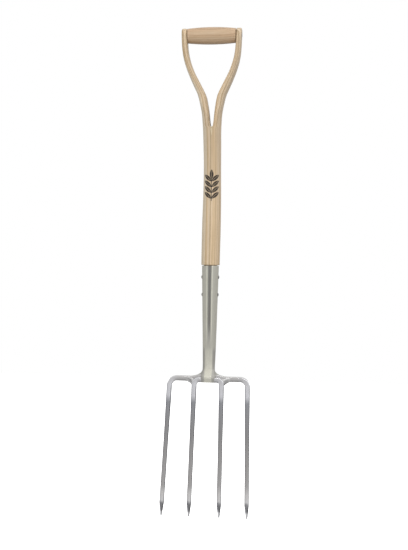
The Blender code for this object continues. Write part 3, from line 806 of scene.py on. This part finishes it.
def add_shaft():
    blank = add_object("shaft_blank", shaft_mesh("shaft_blank"))
    shaft = add_object("ash_shaft", shaft_mesh("ash_shaft"))
    wedge = add_object("ash_wedge", wedge_mesh("ash_wedge", 0.0))
    slit = add_object("wedge_slit", wedge_mesh("wedge_slit", 0.00012))
    reach = 0.01
    helpers = [slit]
    for side in (-1, 1):
        centre = (side * (WASHER_SEAT + reach / 2 - GAP), GRIP_DEPTH, GRIP_HEIGHT)
        helpers.append(pin_helper("washer_seat", WASHER_RADIUS + GAP, reach, centre))
    for helper in helpers:
        boolean(shaft, helper)
    applied(shaft, helpers)
    boolean(wedge, blank, "INTERSECT")
    applied(wedge, [blank])
    store_grain(shaft.data, shaft_grain)
    store_grain(wedge.data, lambda point: (point.x + 0.2, point.y + 0.1, point.z * 1.3))

    look = wood(
        "lacquered_ash",
        light=(0.56, 0.45, 0.325),
        dark=(0.32, 0.225, 0.12),
        warm=(0.53, 0.39, 0.24),
        pith=(0.050, 0.045),
        sapwood=-0.0095,
    )
    print_mark(look, MARK_INK)
    finish_piece(shaft, look.material, "shaft_wood", "shaft", sharp=40)
    look = wood("wedge_ash", (0.62, 0.52, 0.36), (0.42, 0.33, 0.20), (0.58, 0.46, 0.30), (0.1, 0.16))
    finish_piece(wedge, look.material, "wedge_wood", "crotch_wedge", sharp=40)


def add_grip():
    """A barrel with rounded ends, reaching to just short of each arm."""
    half = GRIP_LENGTH / 2
    crown = GRIP_MID_RADIUS - GRIP_END_RADIUS
    end = [(-half, ROD_RADIUS + GAP)]
    for degrees in (0, 18, 36, 54, 72, 90):
        turn = math.radians(degrees)
        radius = GRIP_END_RADIUS - GRIP_EDGE * (1 - math.sin(turn))
        end.append((-half + GRIP_EDGE * (1 - math.cos(turn)), radius))
    ends = end[-1][0]
    profile = list(end)
    for i in range(1, 40):
        along = ends * (1 - i / 20)
        profile.append((along, GRIP_END_RADIUS + crown * (1 - (along / half) ** 2)))
    profile += [(-along, radius) for along, radius in reversed(end)]
    grip = add_object("ash_grip", lathe("ash_grip", profile, "joined", 96))
    for vertex in grip.data.vertices:
        if abs(vertex.co.x) > -ends - 0.0001:
            arm = half_gap(GRIP_HEIGHT + vertex.co.z) - GRIP_CLEARANCE
            vertex.co.x += math.copysign(arm - half, vertex.co.x)
    store_grain(grip.data, lambda point: (point.y + 0.004, point.z - 0.011, point.x + 3.0))
    grip.data.transform(Matrix.Translation((0.0, GRIP_DEPTH, GRIP_HEIGHT)))
    look = wood(
        "turned_ash",
        light=(0.48, 0.36, 0.235),
        dark=(0.35, 0.225, 0.125),
        warm=(0.43, 0.28, 0.165),
        pith=(0.05, -0.05),
        spacing=0.0036,
        coat=0.5,
    )
    finish_piece(grip, look.material, "grip_wood", "grip", sharp=50)


def headed_pin(radius, head_radius, head_height, under_head, head_steps=9):
    """The profile of a pin with a domed head on each end."""
    dome = []
    for i in range(head_steps + 1):
        angle = math.pi / 2 * i / head_steps
        dome.append((under_head + head_height * math.cos(angle), head_radius * math.sin(angle)))
    dome[0] = (dome[0][0], 0.0003)
    dome.append((under_head, radius))
    return dome + [(-x, r) for x, r in reversed(dome)]


def add_pin(name, look, node, centre, *sizes):
    """A pin along the X axis; its sizes are those that headed_pin takes."""
    pin = add_object(name, lathe(name, headed_pin(*sizes), steps=40))
    pin.data.transform(Matrix.Translation(centre))
    store_grain(pin.data, lambda point: (point.x, point.y, point.z))
    finish_piece(pin, look.material, "rivet_steel", node, sharp=40)


def add_fasteners():
    look = steel("fastener_steel", (0.34, 0.335, 0.33), 0.36, 0.5, 0.6)
    centre = (0.0, GRIP_DEPTH, GRIP_HEIGHT)
    under_head = WASHER_SEAT + WASHER_THICKNESS + GAP
    sizes = (ROD_RADIUS, ROD_HEAD_RADIUS, ROD_HEAD_HEIGHT, under_head)
    add_pin("peened_rod", look, "grip_rod", centre, *sizes)
    edge = 0.0003
    for name, side in (("left", -1), ("right", 1)):
        profile = [
            (0.0, ROD_RADIUS + GAP),
            (0.0, WASHER_RADIUS),
            (WASHER_THICKNESS - edge, WASHER_RADIUS),
            (WASHER_THICKNESS, WASHER_RADIUS - edge),
            (WASHER_THICKNESS, ROD_RADIUS + GAP),
        ]
        profile = [(side * (WASHER_SEAT + along), radius) for along, radius in profile]
        washer = add_object(f"washer_{name}", lathe(f"washer_{name}", profile, "joined", 48))
        washer.data.transform(Matrix.Translation(centre))
        store_grain(washer.data, lambda point: (point.x, point.y, point.z))
        finish_piece(washer, look.material, "rivet_steel", f"grip_washer_{name}")
    for name, height in RIVET_HEIGHTS.items():
        under_head = station(SOCKET_SIZES, height, 1) - 0.0001
        sizes = (RIVET_RADIUS, RIVET_HEAD_RADIUS, RIVET_HEAD_HEIGHT, under_head)
        add_pin(f"rivet_{name}", look, f"socket_rivet_{name}", (0, 0, height), *sizes)


# -------- socket


def socket_relief(angle, height):
    """How deep the flute is at a place, and how high the lips at its edges."""
    across = abs(math.remainder(angle, 2 * math.pi)) / FLUTE_HALF_ANGLE
    fade = smooth_step((height - FLUTE_ENDS_AT) / (FLUTE_FADES_FROM - FLUTE_ENDS_AT))
    hollow = FLUTE_DEPTH * max(0.0, 1 - across * across)
    lip = FLUTE_LIP * math.exp(-(((across - 1.2) / 0.30) ** 2))
    return fade * hollow, fade * lip


def socket_painted_light(angle, height):
    """Painted light and shade: 1 is shade, in a hollow and beside the neck's flat; -1 is a highlight, on an
    edge and on the flat.
    """
    sunk, raised = socket_relief(angle, height)
    pressed = smooth_step((NECK_FLAT_TOP - height) / 0.012)
    aside = abs(socket_point(angle, height, 0.0)[0]) / NECK_FLAT_HALF_WIDTH
    # painted highlight on the neck's flat, with painted shade beside it
    flat_light_and_shade = 0.34 * smooth_step((1.1 - aside) / 0.25) - 0.55 * smooth_step((aside - 1.0) / 0.25)
    front = smooth_step(2 * math.cos(angle) + 0.5)
    return (sunk / FLUTE_DEPTH) ** 0.6 - raised / FLUTE_LIP - pressed * front * flat_light_and_shade


def socket_point(angle, height, inset):
    half_width, half_depth, centre, power, flat = (
        station(SOCKET_SIZES, height, column) for column in (1, 2, 3, 4, 5)
    )
    x, y = superellipse(angle, half_width - inset, half_depth - inset, power)
    y = softly_above(y, -flat * (half_depth - inset), 0.0005)
    hollow, lip = socket_relief(angle, height)
    return (x, y + centre + hollow - lip, height)


def socket_mesh(name):
    """The fluted tube, drawn up its outside, over its rim and down its inside."""
    steps = 30
    front = [1.5 * FLUTE_HALF_ANGLE * i / steps for i in range(-steps, steps + 1)]
    angles = front + even(front[-1], 2 * math.pi + front[0], 90)[:-1]
    low, top = SOCKET_SIZES[0][0], SOCKET_SIZES[-1][0]
    rim = 0.0005
    neck_top = 0.335
    heights = [low] + even(low, neck_top, 34) + even(neck_top, top - rim, 50)
    rows = [(height, 0.0) for height in heights]
    for degrees in (30, 60, 90):
        turn = math.radians(degrees)
        rows.append((top - rim + rim * math.sin(turn), rim * (1 - math.cos(turn))))
    rows.append((top, SOCKET_WALL))
    rows += [(height, SOCKET_WALL) for height in reversed(heights)]
    rings = [[socket_point(angle, height, inset) for angle in angles] for height, inset in rows]
    mesh = loft(name, rings, "joined")
    # painted light and shade at each point, for the steel to take up
    painted_light = mesh.attributes.new("painted_light", "FLOAT", "POINT")
    wear_and_painted_light = [socket_painted_light(angle, height) for height, _ in rows for angle in angles]
    for datum, value in zip(painted_light.data, wear_and_painted_light):
        datum.value = value
    return mesh


def add_socket():
    socket = add_object("fluted_socket", socket_mesh("fluted_socket"))
    store_grain(socket.data, lambda point: (point.x, point.y, point.z))
    look = steel(
        "satin_steel",
        colour=(0.74, 0.725, 0.645),
        rough=0.52,
        brushed=0.8,
        forged=0.5,
        stain=(0.58, 0.565, 0.50),
        tarnish=0.35,
        painted_light=True,
    )
    finish_piece(socket, look.material, "socket_steel", "socket", sharp=24)


# -------- bars and tines


def bar_ring(half, corner, roundness):
    """A square with slightly bulging faces; its corners go from chamfers to arcs."""
    face = half - corner
    crown = FACE_CROWN * face
    ring = []
    for quarter in range(4):
        turned = Matrix.Rotation(quarter * math.pi / 2, 2)
        for i in range(CORNER_STEPS + 1):
            share = i / CORNER_STEPS
            arc = Vector((math.cos(share * math.pi / 2), math.sin(share * math.pi / 2)))
            chord = Vector((1 - share, share))
            local = Vector((face - crown, face - crown)) + corner * chord.lerp(arc, roundness)
            ring.append(turned @ local)
        for share in (0.6, 0.2, -0.2, -0.6):
            ring.append(turned @ Vector((share * face, half - crown * share * share)))
    return ring


def tine_depth(height, bar_height, bar_depth, lean):
    """Leans forward from the bar at first, and curves on to the depth of the point."""
    down = bar_height - height
    curve = (bar_depth - TIP_DEPTH - lean * bar_height) / bar_height**2
    return bar_depth - lean * down - curve * down * down


def tine_half(height):
    """Half the width of a tine, which narrows towards its point."""
    to_point = min(max((POINT_LENGTH - height) / POINT_LENGTH, 0.0), 1.0)
    half = station(TINE_SIZES, height)
    return half + (POINT_HALF - half) * to_point**1.15


def tine_centre(x, height, bar_height, bar_depth, lean):
    """The middle of a tine's section; the point is ground away only from the front."""
    ground_back = station(TINE_SIZES, height) - tine_half(height)
    return Vector((x, tine_depth(height, bar_height, bar_depth, lean) + ground_back, height))


def tine_section(height):
    """A square bar that ends in a blunt diamond point."""
    half = tine_half(height)
    diamond = smooth_step((POINT_LENGTH - height) / (POINT_LENGTH - POINT_DIAMOND_BY))
    corner = BAR_CORNER + (0.96 * half - BAR_CORNER) * diamond
    return bar_ring(half, corner, 1 - 0.85 * diamond)


def half_bar(spread, bar_height, bar_depth, bend, lean, across):
    """Path and sections from one point up the tine and along the bar to the middle."""
    bend_height = bar_height - bend
    blunt = {0.0: 0.80, 0.0003: 0.93, 0.0008: 1.0}
    heights = list(blunt) + even(0.0008, POINT_LENGTH, 22) + even(POINT_LENGTH, bend_height, 60)
    path, sections = [], []
    for height in heights:
        x = spread[0] + (spread[1] - spread[0]) * height / bend_height
        path.append(tine_centre(x, height, bar_height, bar_depth, lean))
        sections.append([point * blunt.get(height, 1.0) for point in tine_section(height)])
    for angle in even(0.0, math.pi / 2, 18):
        height = bend_height + bend * math.sin(angle)
        x = spread[1] - bend * (1 - math.cos(angle))
        path.append(Vector((x, tine_depth(height, bar_height, bar_depth, lean), height)))
        sections.append(bar_ring(BAR_HALF, BAR_CORNER, 1.0))
    for x, rise in across:
        path.append(Vector((x, bar_depth, bar_height + rise)))
        sections.append(bar_ring(BAR_HALF, BAR_CORNER, 1.0))
    return path, sections


def bar_mesh(name, *shape):
    """A bar swept along its path, each ring with its sides square to the front."""
    path, sections = half_bar(*shape)
    path += [Vector((-point.x, point.y, point.z)) for point in reversed(path[:-1])]
    sections += sections[-2::-1]
    rings, travelled = [], []
    for i, (centre, section) in enumerate(zip(path, sections)):
        ahead, behind = path[min(i + 1, len(path) - 1)], path[max(i - 1, 0)]
        along = (ahead - behind).normalized()
        deep = (Vector((0, 1, 0)) - along.y * along).normalized()
        wide = deep.cross(along)
        rings.append([(centre + wide * p.x + deep * p.y)[:] for p in section])
        travelled.append(travelled[-1] + (centre - behind).length if i else 0.0)
    mesh = loft(name, rings)
    placed = [(p.x, p.y, along) for section, along in zip(sections, travelled) for p in section]
    grain = mesh.attributes.new("grain", "FLOAT_VECTOR", "POINT")
    for datum, place in zip(grain.data, placed):
        datum.vector = place
    from_tip = mesh.attributes.new("from_tip", "FLOAT", "POINT")
    for datum, place in zip(from_tip.data, placed):
        datum.value = min(place[2], travelled[-1] - place[2])
    return mesh


def outer_bar_mesh(name):
    steps = 28
    across = [
        (OUTER_BAR_STRAIGHT_TO * (1 - i / steps), OUTER_BAR_RISE * smooth_step(1.5 * i / steps))
        for i in range(steps + 1)
    ]
    return bar_mesh(
        name, OUTER_SPREAD, OUTER_BAR_HEIGHT, OUTER_BAR_DEPTH, OUTER_BAR_BEND, OUTER_TINE_LEAN, across
    )


def inner_bar_mesh(name):
    across = [(INNER_SPREAD[1] - INNER_BAR_BEND - share, 0.0) for share in even(0.0, 0.0194, 8)]
    return bar_mesh(
        name, INNER_SPREAD, INNER_BAR_HEIGHT, INNER_BAR_DEPTH, INNER_BAR_BEND, INNER_TINE_LEAN, across
    )


def add_bars():
    look = steel(
        "ground_steel",
        colour=(0.95, 0.95, 0.97),
        rough=0.15,
        brushed=0.6,
        forged=0.25,
        stain=(0.80, 0.77, 0.72),
        zones=TINE_PAINTED_REFLECTIONS,
    )
    for name, mesh in (("outer", outer_bar_mesh("outer_tines")), ("inner", inner_bar_mesh("inner_tines"))):
        bar = add_object(f"{name}_tines", mesh)
        finish_piece(bar, look.material, "tine_steel", f"{name}_tine_bar", sharp=26)


# -------- welds


def concave(start, corner, end, steps):
    """A hollow curve from start to end, drawn towards the corner."""
    points = []
    for i in range(steps + 1):
        t = i / steps
        pairs = zip(start, corner, end)
        points.append(tuple((1 - t) ** 2 * a + 2 * t * (1 - t) * b + t * t * c for a, b, c in pairs))
    return points


def add_weld(name, rings, node, look):
    weld = add_object(name, loft(name, rings))
    store_grain(weld.data, lambda point: (point.z, point.y, point.x))
    finish_piece(weld, look.material, "weld_steel", node, sharp=60)


def rounded_section(x, low, high, power=3.2, steps=40):
    """A rounded rectangle between two corners (y, z), across the X axis at x."""
    middle = [(a + b) / 2 for a, b in zip(low, high)]
    half = [(b - a) / 2 for a, b in zip(low, high)]
    ring = []
    for i in range(steps):
        y, z = superellipse(2 * math.pi * i / steps, half[0], half[1], power)
        ring.append((x, middle[0] + y, middle[1] + z))
    return ring


def shoulder_rings(side):
    """Rises hollowly from the top of the outer bar to the side of the socket."""
    bar_top = OUTER_BAR_HEIGHT + BAR_HALF
    foot = bar_top - 0.0040
    toe = (SHOULDER_WELD_REACH, bar_top + 0.0001)
    corner = (0.0160, bar_top + 0.0025)
    on_socket = (0.0128, SHOULDER_WELD_TOP)
    within_socket = (0.0090, SHOULDER_WELD_TOP + 0.0015)
    rings = []
    for x, top in concave(toe, corner, on_socket, 30) + [within_socket]:
        share = (SHOULDER_WELD_REACH - x) / SHOULDER_WELD_REACH
        half = SHOULDER_WELD_HALF_DEPTH * (0.92 + 0.25 * share)
        low, high = (OUTER_BAR_DEPTH - half, foot), (OUTER_BAR_DEPTH + half, top)
        rings.append(rounded_section(side * x, low, high, 2.6))
    return rings


def fillet_rings(side):
    """Fills the corner between an inner tine and the outer bar, in front and below."""
    bar_front = OUTER_BAR_DEPTH - BAR_HALF
    tine_side = INNER_SPREAD[1] + BAR_HALF
    tine_front = INNER_BAR_DEPTH - BAR_HALF
    bar_foot = OUTER_BAR_HEIGHT - BAR_HALF
    bar_top = OUTER_BAR_HEIGHT + BAR_HALF
    rings = []
    steps = 30
    for i in range(steps + 1):
        away = FILLET_REACH * (1 - i / steps)
        share = (1 - away / FILLET_REACH) ** 2.2
        front = bar_front + 0.0003 + (tine_front + 0.0022 - bar_front) * share
        foot = bar_foot + 0.0002 - FILLET_DROP * share
        top = bar_top - 0.0012 - 0.0024 * share
        low, high = (front, foot), (OUTER_BAR_DEPTH, top)
        rings.append(rounded_section(side * (tine_side + away), low, high))
    within_tine = side * (tine_side - 0.004)
    rings.append([(within_tine, y, z) for _, y, z in rings[-1]])
    return rings


def bead_rings():
    """A rounded bead in the corner behind the inner bar and under the outer one."""
    back = INNER_BAR_DEPTH + BAR_HALF
    top = OUTER_BAR_HEIGHT + OUTER_BAR_RISE - BAR_HALF
    rings = []
    steps = 24
    for i in range(steps + 1):
        x = BEAD_LENGTH * (i / steps - 0.5)
        size = 0.0052 * math.sqrt(max(0.02, 1 - (2 * x / BEAD_LENGTH) ** 4))
        ripple = 0.0003 * math.sin(x * 2600.0)
        low = (back - 0.003, top - size + ripple)
        high = (back + size - ripple, top + 0.003)
        rings.append(rounded_section(x, low, high, 2.2))
    return rings


def add_welds():
    look = steel("dressed_weld", (0.50, 0.495, 0.455), 0.46, 0.8, 0.7, (0.40, 0.39, 0.35), 0.4)
    ground = steel("ground_weld", (0.74, 0.735, 0.73), 0.26, 0.8, 0.6, (0.60, 0.58, 0.55), 0.3)
    for name, side in (("left", -1), ("right", 1)):
        add_weld(f"shoulder_weld_{name}", shoulder_rings(side), f"weld_shoulder_{name}", look)
        add_weld(f"fillet_weld_{name}", fillet_rings(side), f"weld_inner_{name}", ground)
    add_weld("bead_weld", bead_rings(), "weld_underside", look)


# -------- studio


def add_camera():
    """Level with the middle of the fork, a little to its right, and turned very slightly."""
    data = bpy.data.cameras.new("camera")
    data.lens = CAMERA_LENS
    data.sensor_width = CAMERA_FILM
    camera = bpy.data.objects.new("camera", data)
    bpy.context.scene.collection.objects.link(camera)
    yaw, lift = math.radians(CAMERA_YAW), math.radians(CAMERA_LIFT)
    roll = Quaternion((0, 0, 1), math.radians(CAMERA_ROLL))
    back = Vector((math.sin(yaw) * math.cos(lift), -math.cos(yaw) * math.cos(lift), math.sin(lift)))
    camera.location = Vector(CAMERA_TARGET) + CAMERA_DISTANCE * back
    camera.rotation_mode = "QUATERNION"
    camera.rotation_quaternion = (-back).to_track_quat("-Z", "Y") @ roll
    bpy.context.scene.camera = camera


def add_light(name, place, target, size, power, colour=(1.0, 1.0, 1.0), mirrored=False):
    """A soft light; only a mirrored one shows in the steel and the lacquer."""
    data = bpy.data.lights.new(name, "AREA")
    data.shape = "RECTANGLE"
    data.size, data.size_y = size
    data.energy = power
    data.color = colour
    light = bpy.data.objects.new(name, data)
    bpy.context.scene.collection.objects.link(light)
    light.visible_glossy = mirrored
    light.location = place
    light.rotation_euler = (Vector(target) - Vector(place)).to_track_quat("-Z", "Y").to_euler()


def add_world():
    """White as a backdrop; for light and reflections a grey tent, brighter to the right."""
    world = bpy.data.worlds.new("studio")
    bpy.context.scene.world = world
    world.use_nodes = True
    world.node_tree.nodes.clear()
    tent = Nodes(world.node_tree)
    direction = tent.node("ShaderNodeTexCoord").outputs["Generated"]
    x, y, z = tent.parts(direction)
    height = tent.math("MULTIPLY_ADD", z, 0.5, 0.5)
    front = tent.ramp(height, *[(at, (grey,) * 3) for at, grey in FRONT_OF_TENT])
    sides = tent.ramp(height, *[(at, (grey,) * 3) for at, grey in SIDES_OF_TENT])
    aside = tent.step(y, -0.80, -0.25)
    light = tent.mix(aside, front, sides)
    low_left = tent.math("MULTIPLY", tent.step(x, -0.45, -0.75), tent.step(z, -0.16, -0.28))
    light = tent.mix(low_left, light, LOW_LEFT_GLOW)
    light = tent.vector("MULTIPLY", light, tent.grey(tent.step(x, -0.9, 0.9, 0.86, 1.16)))
    inside = tent.node("ShaderNodeBackground", light).outputs[0]
    backdrop = tent.node("ShaderNodeBackground", (1.0, 1.0, 1.0, 1.0)).outputs[0]
    seen = tent.node("ShaderNodeLightPath").outputs["Is Camera Ray"]
    chosen = tent.node("ShaderNodeMixShader", seen, inside, backdrop).outputs[0]
    tent.node("ShaderNodeOutputWorld", chosen)


def add_floor():
    """A wide, pale floor well below the points, as white as the backdrop."""
    half = 6.0
    height = cad_box[0].z - FLOOR_DROP
    corners = [(-half, -half, height), (half, -half, height), (half, half, height), (-half, half, height)]
    mesh = bpy.data.meshes.new("floor")
    mesh.from_pydata(corners, [], [(0, 1, 2, 3)])
    floor = add_object("floor", mesh)
    look = Look("white_floor")
    look.set(Base_Color=(0.9, 0.9, 0.9, 1.0), Roughness=0.9, Emission_Color=(1.0, 1.0, 1.0, 1.0))
    look.set(Emission_Strength=1.2)
    mesh.materials.append(look.material)
    floor.visible_diffuse = False
    floor.visible_glossy = False


def add_studio():
    add_light("key", (-1.3, -2.0, 0.5), LIGHTS_TARGET, (1.8, 2.0), 31.0, (1.0, 0.995, 0.98))
    add_light("fill", (1.7, -1.7, 0.1), LIGHTS_TARGET, (1.6, 2.2), 28.0, (0.98, 0.99, 1.0))
    add_light("top", (0.1, -0.3, 1.6), LIGHTS_TARGET, (1.6, 1.2), 5.0)
    add_light("catch", (0.15, -1.85, 0.50), (0.0, 0.0, 0.0), (0.9, 0.06), 1.4, mirrored=True)
    add_world()
    add_floor()
    bpy.context.scene.view_settings.view_transform = "Standard"


add_shaft()
add_grip()
add_fasteners()
add_socket()
add_bars()
add_welds()
add_camera()
add_studio()
